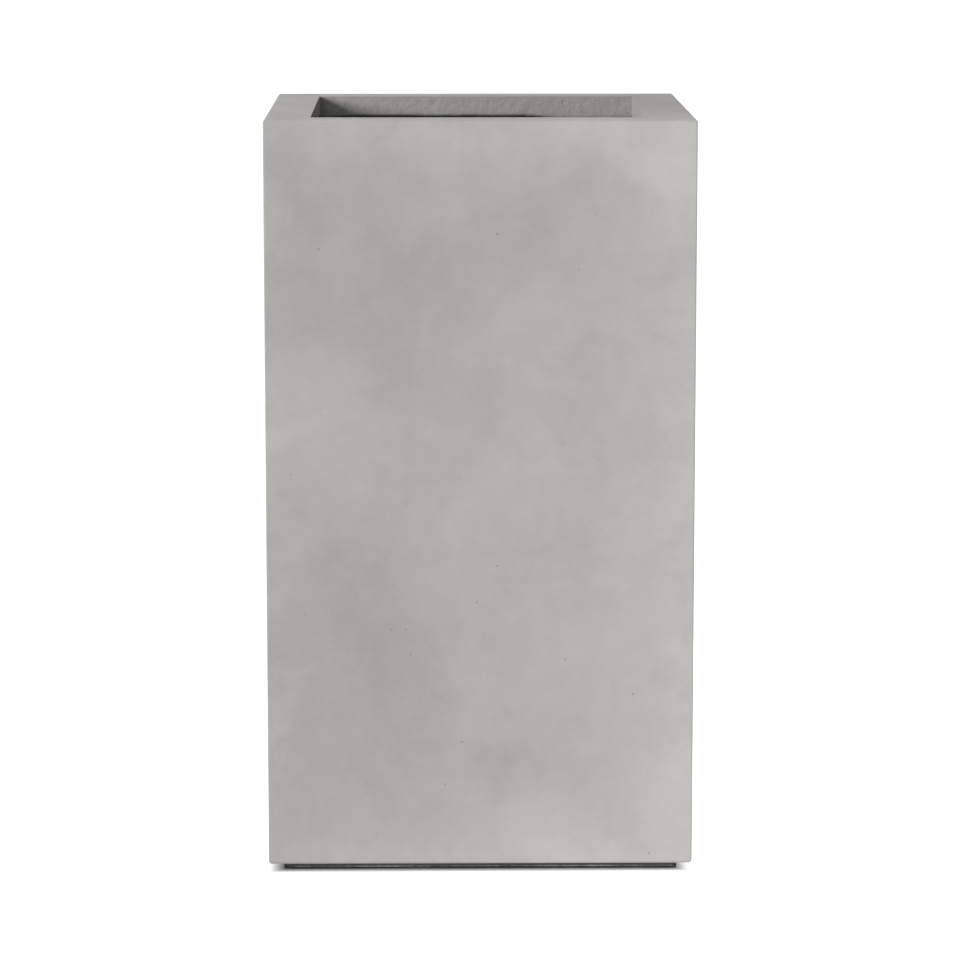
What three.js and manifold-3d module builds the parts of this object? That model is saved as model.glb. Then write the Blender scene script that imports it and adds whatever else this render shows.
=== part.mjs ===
// Tall square planter of moulded glass fibre with a cast-stone look, on a recessed black plinth.
// Millimetres, +Z up, front towards -Y. The origin is on the ground, under the middle of the planter.

import * as THREE from 'three';
import { mergeVertices } from 'three/addons/utils/BufferGeometryUtils.js';
import Module from 'manifold-3d';

const wasm = await Module();
wasm.setup();

// ---------- driving dimensions ----------

// outer shell
const planterWidth = 400;
const planterDepth = 400;
const planterHeight = 710; // ground to the top of the rim
const wallThickness = 6;
const rimWidth = 43; // outside face to the mouth
const lipDrop = 19.5; // rim top to the lower edge of the lip
const flangeWidth = 46; // outside face to the free edge of the inturned flange
const cornerRadius = 4; // upright outer edges
const edgeRadius = 3; // outer edges round the rim and the foot
const mouthChamfer = 1.5;

// plinth
const plinthInset = 14; // outside face of the shell to the outside face of the plinth
const railWidth = 26;
const railHeight = 5;
const stripWidth = 20;
const stripHeight = 2.4;
const drainageGap = 5; // at each end of the side rails and strips, so that water runs out

// base panel and the corner blocks that tie it to the walls
const panelThickness = 12;
const blockLeg = 60; // along each wall
const blockHeight = 28;

// drain fitting
const drainRadius = 12.5;
const ferruleWall = 3.5;
const ferruleFlangeWidth = 9; // from the outside of the tube
const ferruleFlangeThickness = 3;
const ferruleTail = 6; // length under the base panel
const gasketThickness = 2;
const nutWall = 7; // from the bore to a corner of the hexagon
const nutHeight = 4.5;

// drain plug
const plugTaper = 1; // drop in radius from the head to the tip
const plugLength = 18;
const plugHeadOverlap = 6; // head radius beyond the drain radius
const plugHeadThickness = 4;
const plugHeadChamfer = 1;
const knobNeckRadius = 5.5;
const knobNeckHeight = 9;
const knobRadius = 10;
const knobHeight = 9;
const knobChamfer = 2.5;

// removable shelf
const shelfHeight = 410; // ground to the underside of the shelf
const shelfThickness = 10;
const shelfClearance = 4; // to each wall
const shelfHoleRadius = 5;
const shelfHolePitch = 70;
const shelfHoleRows = 3;
const fingerSlotLength = 90;
const fingerSlotWidth = 28;
const fingerSlotMargin = 40; // edge of the shelf to the slot

// shelf brackets
const bracketLeg = 24;
const bracketThickness = 3;
const bracketSetback = 64; // inside corner of the walls to the end of a bracket

// plinth screws
const screwRadius = 2;
const screwHeadRadius = 4;
const screwHeadHeight = 2.4;
const screwLength = 20;
const screwSetback = 70; // outside corner of the shell to a screw

// clearances
const bondLine = 0.3; // between pieces that are glued, screwed or laid together
const plugClearance = 0.3; // round the top of the plug in the drain

// facets of the round pieces
const drainSides = 32;
const screwSides = 16;
const shelfHoleSides = 12;

// ---------- faces and levels worked out from them ----------

const halfWidth = planterWidth / 2;
const halfDepth = planterDepth / 2;
const innerHalfWidth = halfWidth - wallThickness;
const innerHalfDepth = halfDepth - wallThickness;
const mouthHalfWidth = halfWidth - rimWidth;
const mouthHalfDepth = halfDepth - rimWidth;
const plinthHalfWidth = halfWidth - plinthInset;
const plinthHalfDepth = halfDepth - plinthInset;
const shelfHalfWidth = innerHalfWidth - shelfClearance;
const shelfHalfDepth = innerHalfDepth - shelfClearance;

const railBottom = stripHeight + bondLine;
const railTop = railBottom + railHeight;
const shellBottom = railTop + bondLine;
const flangeTop = shellBottom + wallThickness;
const panelBottom = flangeTop + bondLine;
const panelTop = panelBottom + panelThickness;
const rimUnderside = planterHeight - wallThickness;
const lipBottom = planterHeight - lipDrop;
const shelfTop = shelfHeight + shelfThickness;
const bracketTop = shelfHeight - bondLine;

const ferruleRadius = drainRadius + ferruleWall;
const ferruleFlangeRadius = ferruleRadius + ferruleFlangeWidth;
const ferruleHoleRadius = ferruleRadius + bondLine;
const ferruleBottom = panelBottom - ferruleTail;
const gasketBottom = panelTop + bondLine;
const gasketTop = gasketBottom + gasketThickness;
const ferruleFlangeBottom = gasketTop + bondLine;
const ferruleTop = ferruleFlangeBottom + ferruleFlangeThickness;
const nutTop = panelBottom - bondLine;

const pastFace = 10; // how far a cutter runs past the faces that it cuts
const sameVertex = 1e-3; // vertices nearer than this are one

// ---------- finishes ----------

const castStone = new THREE.MeshStandardMaterial({ color: 0xa9a9a5, roughness: 0.85, metalness: 0 });
const plywood = new THREE.MeshStandardMaterial({ color: 0xb58f5e, roughness: 0.8, metalness: 0 });
const laminate = new THREE.MeshStandardMaterial({ color: 0x8d918c, roughness: 0.7, metalness: 0 });
const blackPlastic = new THREE.MeshStandardMaterial({ color: 0x1d1e1f, roughness: 0.6, metalness: 0 });
const blackRubber = new THREE.MeshStandardMaterial({ color: 0x151515, roughness: 0.9, metalness: 0 });
const greyPlastic = new THREE.MeshStandardMaterial({ color: 0x4a4c4d, roughness: 0.65, metalness: 0 });
const aluminium = new THREE.MeshStandardMaterial({ color: 0xb9bcc0, roughness: 0.4, metalness: 0.9 });
const steel = new THREE.MeshStandardMaterial({ color: 0x9da0a3, roughness: 0.35, metalness: 0.9 });

// ---------- cutting and joining ----------

function toSolid(geometry) {
  const bare = geometry.clone();
  bare.deleteAttribute('normal');
  bare.deleteAttribute('uv');
  const merged = mergeVertices(bare, sameVertex);
  return new wasm.Manifold(new wasm.Mesh({
    numProp: 3,
    vertProperties: merged.getAttribute('position').array,
    triVerts: new Uint32Array(merged.index.array),
  }));
}

function toGeometry(solid) {
  const mesh = solid.getMesh();
  const shared = new THREE.BufferGeometry();
  shared.setAttribute('position', new THREE.BufferAttribute(new Float32Array(mesh.vertProperties), 3));
  shared.setIndex(new THREE.BufferAttribute(new Uint32Array(mesh.triVerts), 1));
  const faceted = shared.toNonIndexed();
  faceted.computeVertexNormals();
  return faceted;
}

function cut(solid, cutters) {
  let rest = solid;
  for (const cutter of cutters) {
    rest = rest.subtract(toSolid(cutter));
  }
  return rest;
}

// ---------- plain forms ----------

// A box between two corners.
function block(low, high) {
  const size = high.map((value, axis) => value - low[axis]);
  const middle = high.map((value, axis) => (value + low[axis]) / 2);
  return new THREE.BoxGeometry(...size).translate(...middle);
}

// A box centred on the upright axis.
function centredBlock(halfX, halfY, bottom, top) {
  return block([-halfX, -halfY, bottom], [halfX, halfY, top]);
}

// A round solid about the upright axis. Its outline of [radius, height] points runs up the outside.
function turned(outline, sides) {
  const points = outline.map(([radius, height]) => new THREE.Vector2(radius, height));
  return new THREE.LatheGeometry(points, sides).rotateX(Math.PI / 2);
}

function pin(radius, bottom, top, sides) {
  return turned([[0, bottom], [radius, bottom], [radius, top], [0, top]], sides);
}

function ring(innerRadius, outerRadius, bottom, top, sides) {
  return turned([
    [innerRadius, bottom],
    [outerRadius, bottom],
    [outerRadius, top],
    [innerRadius, top],
    [innerRadius, bottom],
  ], sides);
}

// An upright prism with round corners, and with its top and bottom edges rounded.
function roundedPrism(halfX, halfY, bottom, top) {
  const x = halfX - cornerRadius;
  const y = halfY - cornerRadius;
  const quarter = Math.PI / 2;
  const outline = new THREE.Shape();
  outline.absarc(x, -y, cornerRadius, -quarter, 0);
  outline.absarc(x, y, cornerRadius, 0, quarter);
  outline.absarc(-x, y, cornerRadius, quarter, 2 * quarter);
  outline.absarc(-x, -y, cornerRadius, 2 * quarter, 3 * quarter);
  return new THREE.ExtrudeGeometry(outline, {
    depth: top - bottom - 2 * edgeRadius,
    curveSegments: 6,
    bevelThickness: edgeRadius,
    bevelSize: edgeRadius,
    bevelOffset: -edgeRadius,
    bevelSegments: 4,
  }).translate(0, 0, bottom + edgeRadius);
}

// ---------- the assembly ----------

const planter = new THREE.Group();

function place(name, geometry, material, parent = planter) {
  const mesh = new THREE.Mesh(geometry, material);
  mesh.name = name;
  parent.add(mesh);
  return mesh;
}

// Four bars round a rectangle: front and back run its full width, left and right fit between them.
function fourBars({ halfX, halfY, barWidth, bottom, top, endGap }) {
  const sideEnd = halfY - barWidth - endGap;
  return {
    front: block([-halfX, -halfY, bottom], [halfX, barWidth - halfY, top]),
    back: block([-halfX, halfY - barWidth, bottom], [halfX, halfY, top]),
    left: block([-halfX, -sideEnd, bottom], [barWidth - halfX, sideEnd, top]),
    right: block([halfX - barWidth, -sideEnd, bottom], [halfX, sideEnd, top]),
  };
}

// ---------- plinth screws: places and holes ----------

const screwLineX = plinthHalfWidth - railWidth / 2;
const screwLineY = plinthHalfDepth - railWidth / 2;
const screwSpreadX = halfWidth - screwSetback;
const screwSpreadY = halfDepth - screwSetback;
const screwPlaces = [
  ['front_left', -screwSpreadX, -screwLineY],
  ['front_right', screwSpreadX, -screwLineY],
  ['back_left', -screwSpreadX, screwLineY],
  ['back_right', screwSpreadX, screwLineY],
  ['left_front', -screwLineX, -screwSpreadY],
  ['left_back', -screwLineX, screwSpreadY],
  ['right_front', screwLineX, -screwSpreadY],
  ['right_back', screwLineX, screwSpreadY],
];

// Countersunk, with the head level with the underside of the rail.
const screwForm = turned([
  [0, railBottom],
  [screwHeadRadius, railBottom],
  [screwRadius, railBottom + screwHeadHeight],
  [screwRadius, railBottom + screwLength],
  [0, railBottom + screwLength],
], screwSides);

const screwHole = turned([
  [0, railBottom - pastFace],
  [screwHeadRadius + bondLine, railBottom - pastFace],
  [screwHeadRadius + bondLine, railBottom],
  [screwRadius + bondLine, railBottom + screwHeadHeight],
  [screwRadius + bondLine, railBottom + screwLength + bondLine],
  [0, railBottom + screwLength + bondLine],
], screwSides);

const screwHoles = screwPlaces.map(([, x, y]) => screwHole.clone().translate(x, y, 0));

for (const [name, x, y] of screwPlaces) {
  place(`plinth_screw_${name}`, screwForm, steel).position.set(x, y, 0);
}

// ---------- outer shell: walls, rim, lip and bottom flange in one moulding ----------

// The cutter for the chamfer round the mouth: a block that widens upwards at 45 degrees.
function mouthFlare() {
  const bottom = planterHeight - mouthChamfer;
  const flare = centredBlock(mouthHalfWidth, mouthHalfDepth, bottom, planterHeight + pastFace);
  const spread = mouthChamfer + pastFace;
  const corners = flare.getAttribute('position');
  for (let i = 0; i < corners.count; i += 1) {
    if (corners.getZ(i) > planterHeight) {
      corners.setX(i, corners.getX(i) + Math.sign(corners.getX(i)) * spread);
      corners.setY(i, corners.getY(i) + Math.sign(corners.getY(i)) * spread);
    }
  }
  return flare;
}

function outerShell() {
  const form = roundedPrism(halfWidth, halfDepth, shellBottom, planterHeight);
  const cavity = centredBlock(innerHalfWidth, innerHalfDepth, flangeTop, rimUnderside);
  const lip = centredBlock(
    mouthHalfWidth + wallThickness,
    mouthHalfDepth + wallThickness,
    lipBottom,
    rimUnderside + wallThickness / 2,
  );
  const mouth = centredBlock(mouthHalfWidth, mouthHalfDepth, lipBottom - pastFace, planterHeight + pastFace);
  const footOpening = centredBlock(
    halfWidth - flangeWidth,
    halfDepth - flangeWidth,
    shellBottom - pastFace,
    flangeTop + pastFace,
  );
  const walls = cut(toSolid(form), [cavity]).add(toSolid(lip));
  return toGeometry(cut(walls, [mouth, mouthFlare(), footOpening, ...screwHoles]));
}

place('outer_shell', outerShell(), castStone);

// ---------- rim battens: plywood strips that keep the wide rim flat, between wall and lip ----------

const battenBars = fourBars({
  halfX: innerHalfWidth - bondLine,
  halfY: innerHalfDepth - bondLine,
  barWidth: rimWidth - 2 * wallThickness - 2 * bondLine,
  bottom: lipBottom,
  top: rimUnderside - bondLine,
  endGap: bondLine,
});
for (const [side, bar] of Object.entries(battenBars)) {
  place(`rim_batten_${side}`, bar, plywood);
}

// ---------- base panel, laid on the bottom flange ----------

function basePanel() {
  const panel = centredBlock(innerHalfWidth - bondLine, innerHalfDepth - bondLine, panelBottom, panelTop);
  const drainHole = pin(ferruleHoleRadius, panelBottom - pastFace, panelTop + pastFace, drainSides);
  return toGeometry(cut(toSolid(panel), [drainHole, ...screwHoles]));
}

place('base_panel', basePanel(), laminate);

// ---------- corner blocks: triangular, on the base panel against two walls ----------

const blockPlan = new THREE.Shape([
  new THREE.Vector2(0, 0),
  new THREE.Vector2(blockLeg, 0),
  new THREE.Vector2(0, blockLeg),
]);
const blockForm = new THREE.ExtrudeGeometry(blockPlan, { depth: blockHeight, bevelEnabled: false });
const blockX = innerHalfWidth - bondLine;
const blockY = innerHalfDepth - bondLine;
for (const [name, x, y, quarterTurns] of [
  ['front_left', -blockX, -blockY, 0],
  ['front_right', blockX, -blockY, 1],
  ['back_right', blockX, blockY, 2],
  ['back_left', -blockX, blockY, 3],
]) {
  const corner = place(`corner_block_${name}`, blockForm, laminate);
  corner.position.set(x, y, panelTop + bondLine);
  corner.rotation.z = quarterTurns * Math.PI / 2;
}

// ---------- plinth: rails screwed under the flange, rubber strips glued under the rails ----------

const railBars = fourBars({
  halfX: plinthHalfWidth,
  halfY: plinthHalfDepth,
  barWidth: railWidth,
  bottom: railBottom,
  top: railTop,
  endGap: drainageGap,
});
for (const [side, bar] of Object.entries(railBars)) {
  place(`plinth_rail_${side}`, toGeometry(cut(toSolid(bar), screwHoles)), blackPlastic);
}

const stripBars = fourBars({
  halfX: plinthHalfWidth,
  halfY: plinthHalfDepth,
  barWidth: stripWidth,
  bottom: 0,
  top: stripHeight,
  endGap: railWidth - stripWidth + drainageGap,
});
for (const [side, bar] of Object.entries(stripBars)) {
  place(`foot_strip_${side}`, bar, blackRubber);
}

// ---------- drain fitting: flanged ferrule, rubber gasket and lock nut ----------

place('drain_ferrule', turned([
  [drainRadius, ferruleBottom],
  [ferruleRadius, ferruleBottom],
  [ferruleRadius, ferruleFlangeBottom],
  [ferruleFlangeRadius, ferruleFlangeBottom],
  [ferruleFlangeRadius, ferruleTop],
  [drainRadius, ferruleTop],
  [drainRadius, ferruleBottom],
], drainSides), blackPlastic);

place(
  'drain_gasket',
  ring(ferruleHoleRadius, ferruleFlangeRadius, gasketBottom, gasketTop, drainSides),
  blackRubber,
);

function drainNut() {
  const hexagon = pin(ferruleHoleRadius + nutWall, nutTop - nutHeight, nutTop, 6);
  const bore = pin(ferruleHoleRadius, nutTop - nutHeight - pastFace, nutTop + pastFace, drainSides);
  return toGeometry(cut(toSolid(hexagon), [bore]));
}

place('drain_nut', drainNut(), blackPlastic);

// ---------- drain plug: a tapered rubber stopper that lifts out by its knob ----------

const plugRadius = drainRadius - plugClearance;
const plugHeadRadius = drainRadius + plugHeadOverlap;
const plugSeat = ferruleTop + bondLine;
const plugHeadTop = plugSeat + plugHeadThickness;
const knobBottom = plugHeadTop + knobNeckHeight;
const knobTop = knobBottom + knobHeight;

place('drain_plug', turned([
  [0, plugSeat - plugLength],
  [plugRadius - plugTaper, plugSeat - plugLength],
  [plugRadius, plugSeat],
  [plugHeadRadius, plugSeat],
  [plugHeadRadius, plugHeadTop - plugHeadChamfer],
  [plugHeadRadius - plugHeadChamfer, plugHeadTop],
  [knobNeckRadius, plugHeadTop],
  [knobNeckRadius, knobBottom],
  [knobRadius - knobChamfer, knobBottom],
  [knobRadius, knobBottom + knobChamfer],
  [knobRadius, knobTop - knobChamfer],
  [knobRadius - knobChamfer, knobTop],
  [0, knobTop],
], drainSides), blackRubber);

// ---------- shelf brackets: aluminium angles glued to the walls ----------

// One leg lies down the wall, and the other stands out level under the shelf.
const bracketSection = new THREE.Shape([
  new THREE.Vector2(0, 0),
  new THREE.Vector2(0, -bracketLeg),
  new THREE.Vector2(bracketThickness, -bracketLeg),
  new THREE.Vector2(bracketThickness, -bracketThickness),
  new THREE.Vector2(bracketLeg, -bracketThickness),
  new THREE.Vector2(bracketLeg, 0),
]);

function bracket(length) {
  return new THREE.ExtrudeGeometry(bracketSection, { depth: length, bevelEnabled: false })
    .translate(0, 0, -length / 2)
    .rotateX(Math.PI / 2);
}

const bracketX = innerHalfWidth - bondLine;
const bracketY = innerHalfDepth - bondLine;
for (const [side, x, y, quarterTurns, wallHalfLength] of [
  ['left', -bracketX, 0, 0, innerHalfDepth],
  ['front', 0, -bracketY, 1, innerHalfWidth],
  ['right', bracketX, 0, 2, innerHalfDepth],
  ['back', 0, bracketY, 3, innerHalfWidth],
]) {
  const angle = place(`shelf_bracket_${side}`, bracket(2 * (wallHalfLength - bracketSetback)), aluminium);
  angle.position.set(x, y, bracketTop);
  angle.rotation.z = quarterTurns * Math.PI / 2;
}

// ---------- removable shelf: a false floor with drain holes and two finger slots ----------

function shelfCutters() {
  const low = shelfHeight - pastFace;
  const high = shelfTop + pastFace;
  const firstHole = -shelfHolePitch * (shelfHoleRows - 1) / 2;
  const cutters = [];
  for (let row = 0; row < shelfHoleRows; row += 1) {
    for (let column = 0; column < shelfHoleRows; column += 1) {
      cutters.push(pin(shelfHoleRadius, low, high, shelfHoleSides)
        .translate(firstHole + column * shelfHolePitch, firstHole + row * shelfHolePitch, 0));
    }
  }
  const slotMiddle = shelfHalfWidth - fingerSlotMargin - fingerSlotWidth / 2;
  for (const x of [-slotMiddle, slotMiddle]) {
    cutters.push(centredBlock(fingerSlotWidth / 2, fingerSlotLength / 2, low, high).translate(x, 0, 0));
  }
  return cutters;
}

const shelfBoard = centredBlock(shelfHalfWidth, shelfHalfDepth, shelfHeight, shelfTop);
place('insert_shelf', toGeometry(cut(toSolid(shelfBoard), shelfCutters())), greyPlastic);

export default planter;
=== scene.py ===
import math

import bmesh
import bpy
from mathutils import Matrix, Vector, noise


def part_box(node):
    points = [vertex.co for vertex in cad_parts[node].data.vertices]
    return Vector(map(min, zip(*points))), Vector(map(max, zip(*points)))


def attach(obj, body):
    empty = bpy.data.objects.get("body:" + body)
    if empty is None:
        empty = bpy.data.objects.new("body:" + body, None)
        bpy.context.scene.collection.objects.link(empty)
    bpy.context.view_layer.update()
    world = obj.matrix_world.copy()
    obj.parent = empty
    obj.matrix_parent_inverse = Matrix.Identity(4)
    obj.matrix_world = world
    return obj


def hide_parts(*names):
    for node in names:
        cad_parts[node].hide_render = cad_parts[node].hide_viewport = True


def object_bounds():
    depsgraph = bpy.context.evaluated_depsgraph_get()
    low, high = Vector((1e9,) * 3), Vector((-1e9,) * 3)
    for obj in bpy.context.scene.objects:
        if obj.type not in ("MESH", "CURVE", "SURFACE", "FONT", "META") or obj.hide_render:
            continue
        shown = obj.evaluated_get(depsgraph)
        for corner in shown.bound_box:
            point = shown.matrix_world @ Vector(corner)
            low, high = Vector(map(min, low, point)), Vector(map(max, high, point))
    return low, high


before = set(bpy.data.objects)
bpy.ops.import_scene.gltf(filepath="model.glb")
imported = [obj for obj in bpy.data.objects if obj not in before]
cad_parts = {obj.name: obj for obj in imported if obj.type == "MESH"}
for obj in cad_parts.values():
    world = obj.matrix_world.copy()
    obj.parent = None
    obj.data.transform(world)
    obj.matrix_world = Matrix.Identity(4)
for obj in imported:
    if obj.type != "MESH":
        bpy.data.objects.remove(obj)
cad_low, cad_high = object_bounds()


# ---------- the studio ----------
# A wide pale floor that runs out of sight, and four soft lamps: a large one at the upper left, one
# overhead that stands off to the left, a tall strip low at the front right, and the floor's own.
# The camera stands in front, about as high as a person's waist, and looks slightly down.

camera_place = Vector((-0.045, -3.904, 0.963))
camera_pitch = math.radians(9.01)
camera_turn = math.radians(0.69)
camera_lens = 151.0  # millimetres, on a sensor 36 mm wide

camera = bpy.data.objects.new("camera", bpy.data.cameras.new("camera"))
camera.data.sensor_width = 36
camera.data.lens = camera_lens
camera.data.clip_end = 200
camera.location = camera_place
camera.rotation_euler = (math.pi / 2 - camera_pitch, 0, -camera_turn)
bpy.context.scene.collection.objects.link(camera)
bpy.context.scene.camera = camera

bpy.context.scene.view_settings.view_transform = "Standard"
bpy.context.scene.view_settings.look = "None"


def soft_lamp(name, place, aim, width, height, watts):
    lamp = bpy.data.lights.new(name, "AREA")
    lamp.shape = "RECTANGLE"
    lamp.size = width
    lamp.size_y = height
    lamp.energy = watts
    stand = bpy.data.objects.new(name, lamp)
    stand.location = place
    stand.rotation_euler = (Vector(aim) - Vector(place)).to_track_quat("-Z", "Y").to_euler()
    stand.visible_camera = False
    bpy.context.scene.collection.objects.link(stand)
    return stand


rim_middle = (0, 0, cad_high.z)
front_right = (0.1, -0.2, 0.34)
left_lamp = soft_lamp(
    "upper_left_lamp", (-2.78, -1.74, 1.61), rim_middle, width=1.1, height=1.1, watts=140)
overhead_lamp = soft_lamp(
    "overhead_lamp", (-1.5, 0.1, 4.2), rim_middle, width=2.2, height=2.2, watts=106)
soft_lamp(
    "front_right_strip", (0.72, -0.62, 0.34), front_right, width=0.25, height=0.76, watts=4.0)
floor_lamp = soft_lamp(
    "floor_lamp", (0, -0.8, 3.2), (0, -0.8, 0), width=3.0, height=3.0, watts=52)

floor_radius = 40
floor_gap = 0.0001  # keeps the floor's face apart from the underside of the foot strips
# Painted shadow: inside this square the floor's own glow is turned down to paint the planter's close
# shadow.
shadow_reach = cad_high.x - 0.015  # inside this square the floor lies in the planter's close shadow
pale_from = cad_high.x + 0.006  # and from here on it glows by itself, so that it stays pale

floor_mesh = bpy.data.meshes.new("floor")
floor_form = bmesh.new()
bmesh.ops.create_circle(floor_form, cap_ends=True, segments=96, radius=floor_radius)
floor_form.to_mesh(floor_mesh)
floor_form.free()
floor = bpy.data.objects.new("floor", floor_mesh)
bpy.context.scene.collection.objects.link(floor)

# The two lamps on the left are screened off the floor, so that the planter throws no long shadow.
# The floor has a broad lamp of its own, which leaves only the close shadow under the planter.
screened = bpy.data.collections.new("screened_from_left_lamps")
screened.objects.link(floor)
screened.collection_objects[0].light_linking.link_state = "EXCLUDE"
left_lamp.light_linking.receiver_collection = screened
overhead_lamp.light_linking.receiver_collection = screened
floor_alone = bpy.data.collections.new("floor_alone")
floor_alone.objects.link(floor)
floor_lamp.light_linking.receiver_collection = floor_alone


def add_node(tree, kind, inputs, **settings):
    """A new shader node. An input is a value, or another node's output to join to it."""
    made = tree.nodes.new("ShaderNode" + kind)
    for setting, value in settings.items():
        setattr(made, setting, value)
    for name, value in inputs.items():
        socket = next(s for s in made.inputs if name in (s.identifier, s.name))
        if isinstance(value, bpy.types.NodeSocket):
            tree.links.new(value, socket)
        else:
            socket.default_value = value
    return made


floor_paint = bpy.data.materials.new("pale_floor")
floor_paint.use_nodes = True
floor_tree = floor_paint.node_tree
floor_shader = floor_tree.nodes["Principled BSDF"]
floor_shader.inputs["Base Color"].default_value = (0.9, 0.9, 0.9, 1)
floor_shader.inputs["Roughness"].default_value = 0.9
floor_shader.inputs["Specular IOR Level"].default_value = 0.1
floor_shader.inputs["Emission Color"].default_value = (1, 1, 1, 1)
floor_point = add_node(floor_tree, "TexCoord", {}).outputs["Object"]
floor_distance = add_node(floor_tree, "VectorMath", {"Vector": floor_point}, operation="LENGTH")
floor_offset = add_node(floor_tree, "VectorMath", {"Vector": floor_point}, operation="ABSOLUTE")
floor_sides = add_node(floor_tree, "SeparateXYZ", {"Vector": floor_offset.outputs["Vector"]})
floor_square = add_node(floor_tree, "Math", {
    "Value": floor_sides.outputs["X"],
    "Value_001": floor_sides.outputs["Y"],
}, operation="MAXIMUM")

# What the camera sees of the floor's own glow: almost none under the planter, which paints its close
# shadow, and plenty outside it.
floor_glow_painted_shadow = add_node(floor_tree, "MapRange", {
    "Value": floor_square.outputs["Value"],
    "From Min": shadow_reach,
    "From Max": pale_from,
    "To Min": 0.03,
    "To Max": 0.88,
}, interpolation_type="SMOOTHSTEP")

# What the planter gets back of it, painted bounce light: the floor glows more close by, and less
# from farther off.
floor_painted_bounce = add_node(floor_tree, "MapRange", {
    "Value": floor_distance.outputs["Value"],
    "From Min": 0.25,
    "From Max": 0.34,
    "To Min": 0.62,
    "To Max": 0.17,
})
floor_seen = add_node(floor_tree, "LightPath", {}).outputs["Is Camera Ray"]
floor_strength = add_node(floor_tree, "MapRange", {
    "Value": floor_seen,
    "To Min": floor_painted_bounce.outputs["Result"],
    "To Max": floor_glow_painted_shadow.outputs["Result"],
})
floor_tree.links.new(floor_strength.outputs["Result"], floor_shader.inputs["Emission Strength"])
floor.data.materials.append(floor_paint)
floor.location.z = -floor_gap

room = bpy.data.worlds.new("room")
room.use_nodes = True
room_tree = room.node_tree
room_glow = room_tree.nodes["Background"]
room_glow.inputs["Color"].default_value = (0.98, 0.99, 1, 1)
room_glow.inputs["Strength"].default_value = 0.255
room_wall = add_node(room_tree, "Background", {"Color": (1, 1, 1, 1), "Strength": 1.0})
room_seen = add_node(room_tree, "LightPath", {}).outputs["Is Camera Ray"]
room_mix = add_node(room_tree, "MixShader", {
    "Fac": room_seen,
    "Shader": room_glow.outputs["Background"],
    "Shader_001": room_wall.outputs["Background"],
})
room_tree.links.new(room_mix.outputs["Shader"], room_tree.nodes["World Output"].inputs["Surface"])
bpy.context.scene.world = room


# ---------- outer shell ----------
# One moulding of glass-fibre laminate, laid up by hand in a split mould: four walls, the flat rim,
# the lip turned down round the mouth and the flange turned in at the foot. The mould side is a thin
# coat of cement-coloured gelcoat rubbed matt; the other side is the raw laminate.

shell_low, shell_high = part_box("outer_shell")
half_width = shell_high.x
foot_level = shell_low.z
rim_level = shell_high.z
wall = 0.006
mouth_reach = half_width - 0.043
lip_bottom = rim_level - 0.0195
foot_opening_reach = half_width - 0.046
upright_edge_radius = 0.0014
inner_corner_radius = 0.0006
same_place = 1e-6  # points closer than this count as one


def eased(corners, steps=5, closed=True):
    """An outline with its corners rounded. A corner is (across, up, radius)."""
    outline = []
    last = len(corners) - 1
    for i, (across, up, radius) in enumerate(corners):
        here = Vector((across, up))
        if radius == 0 or (not closed and i in (0, last)):
            outline.append(here)
            continue
        back = (Vector(corners[i - 1][:2]) - here).normalized()
        on = (Vector(corners[(i + 1) % len(corners)][:2]) - here).normalized()
        half_angle = back.angle(on) / 2
        centre = here + (back + on).normalized() * radius / math.sin(half_angle)
        spoke = here + back * radius / math.tan(half_angle) - centre
        turn = math.pi - 2 * half_angle
        if back.x * on.y - back.y * on.x > 0:
            turn = -turn
        for step in range(steps + 1):
            point = spoke.copy()
            point.rotate(Matrix.Rotation(turn * step / steps, 2))
            outline.append(centre + point)
    return outline


def stepped(outline, longest, closed=True):
    """The same outline with points added, so that no stretch of it is longer than that."""
    fuller = []
    count = len(outline)
    for i in range(count if closed else count - 1):
        start = outline[i]
        end = outline[(i + 1) % count]
        pieces = max(1, math.ceil((end - start).length / longest))
        for k in range(pieces):
            fuller.append(start.lerp(end, k / pieces))
    if not closed:
        fuller.append(outline[-1])
    return fuller


def square_ring(reach, radius, level, corner_steps=6, side_steps=34):
    """Points round a square with rounded corners, about the upright axis."""
    ring = []
    inner = reach - radius
    for quarter in range(4):
        start = quarter * math.pi / 2
        centre = Vector((inner, inner))
        centre.rotate(Matrix.Rotation(start, 2))
        arc = [
            centre + radius * Vector((math.cos(start + a), math.sin(start + a)))
            for a in (k * math.pi / 2 / corner_steps for k in range(corner_steps + 1))
        ]
        side_end = arc[-1] - 2 * inner * Vector((math.cos(start), math.sin(start)))
        ring += arc
        ring += [arc[-1].lerp(side_end, k / side_steps) for k in range(1, side_steps)]
    return [(p.x, p.y, level) for p in ring]


def skin(rings, loop=False):
    """Faces between neighbouring rings of points. The ends are closed, or joined to each other."""
    around = len(rings[0])
    faces = []
    for i in range(len(rings) if loop else len(rings) - 1):
        here = i * around
        there = (i + 1) % len(rings) * around
        for k in range(around):
            on = (k + 1) % around
            faces.append((here + k, here + on, there + on, there + k))
    if not loop:
        faces.append(tuple(range(around)))
        faces.append(tuple(range((len(rings) - 1) * around, len(rings) * around)))
    return faces


def made_piece(name, points, faces):
    """A smooth shaded object with its faces turned outwards."""
    mesh = bpy.data.meshes.new(name)
    mesh.from_pydata([tuple(p) for p in points], [], faces)
    form = bmesh.new()
    form.from_mesh(mesh)
    bmesh.ops.recalc_face_normals(form, faces=form.faces)
    form.to_mesh(mesh)
    form.free()
    mesh.shade_smooth()
    piece = bpy.data.objects.new(name, mesh)
    bpy.context.scene.collection.objects.link(piece)
    piece.modifiers.new("flat_faces_stay_flat", "WEIGHTED_NORMAL")
    return piece


def piece_over(name, rings, loop=False):
    """A piece skinned over its rings of points."""
    return made_piece(name, [point for ring in rings for point in ring], skin(rings, loop))


def shell_corner_radius(reach):
    return max(inner_corner_radius, upright_edge_radius - (half_width - reach))


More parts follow.
